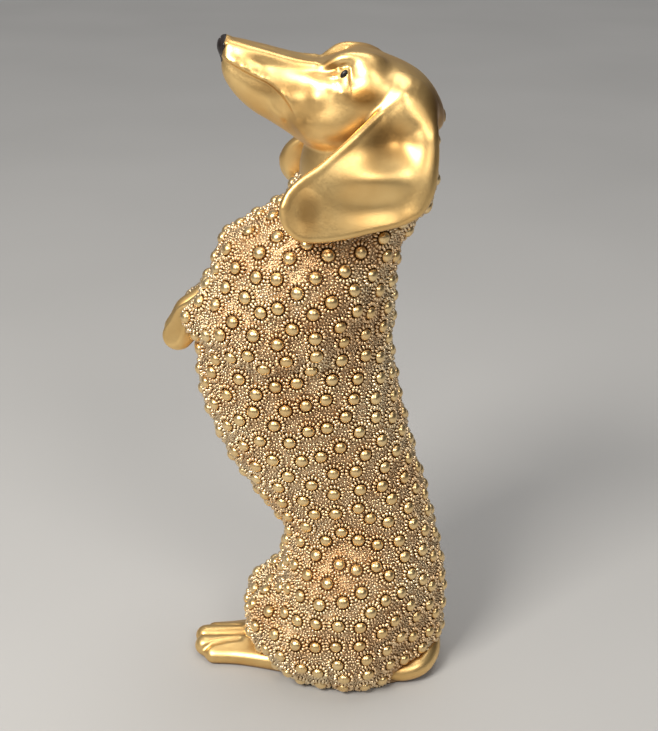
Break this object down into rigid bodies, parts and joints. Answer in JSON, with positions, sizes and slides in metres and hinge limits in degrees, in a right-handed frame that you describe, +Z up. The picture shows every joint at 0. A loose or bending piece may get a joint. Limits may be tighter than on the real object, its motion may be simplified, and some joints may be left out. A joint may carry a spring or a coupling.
{
  "type": "resin dog statue",
  "caption": "Figurine of a long-eared dachshund sitting up with its forepaws raised, smooth head and a coat of domed studs, standing on its flat underside.",
  "frame": {"origin": "centre of the footprint on the surface that the statue stands on", "axes": "+Z up, the dog looks along -Y, +X to the dog's left"},
  "size_m": [0.0756, 0.1114, 0.2503],
  "materials": {
    "gold_resin": "satin metallic gold paint over cast resin"
  },
  "bodies": {
    "root": {"dog_statue": "gold_resin"}
  },
  "joints": []
}
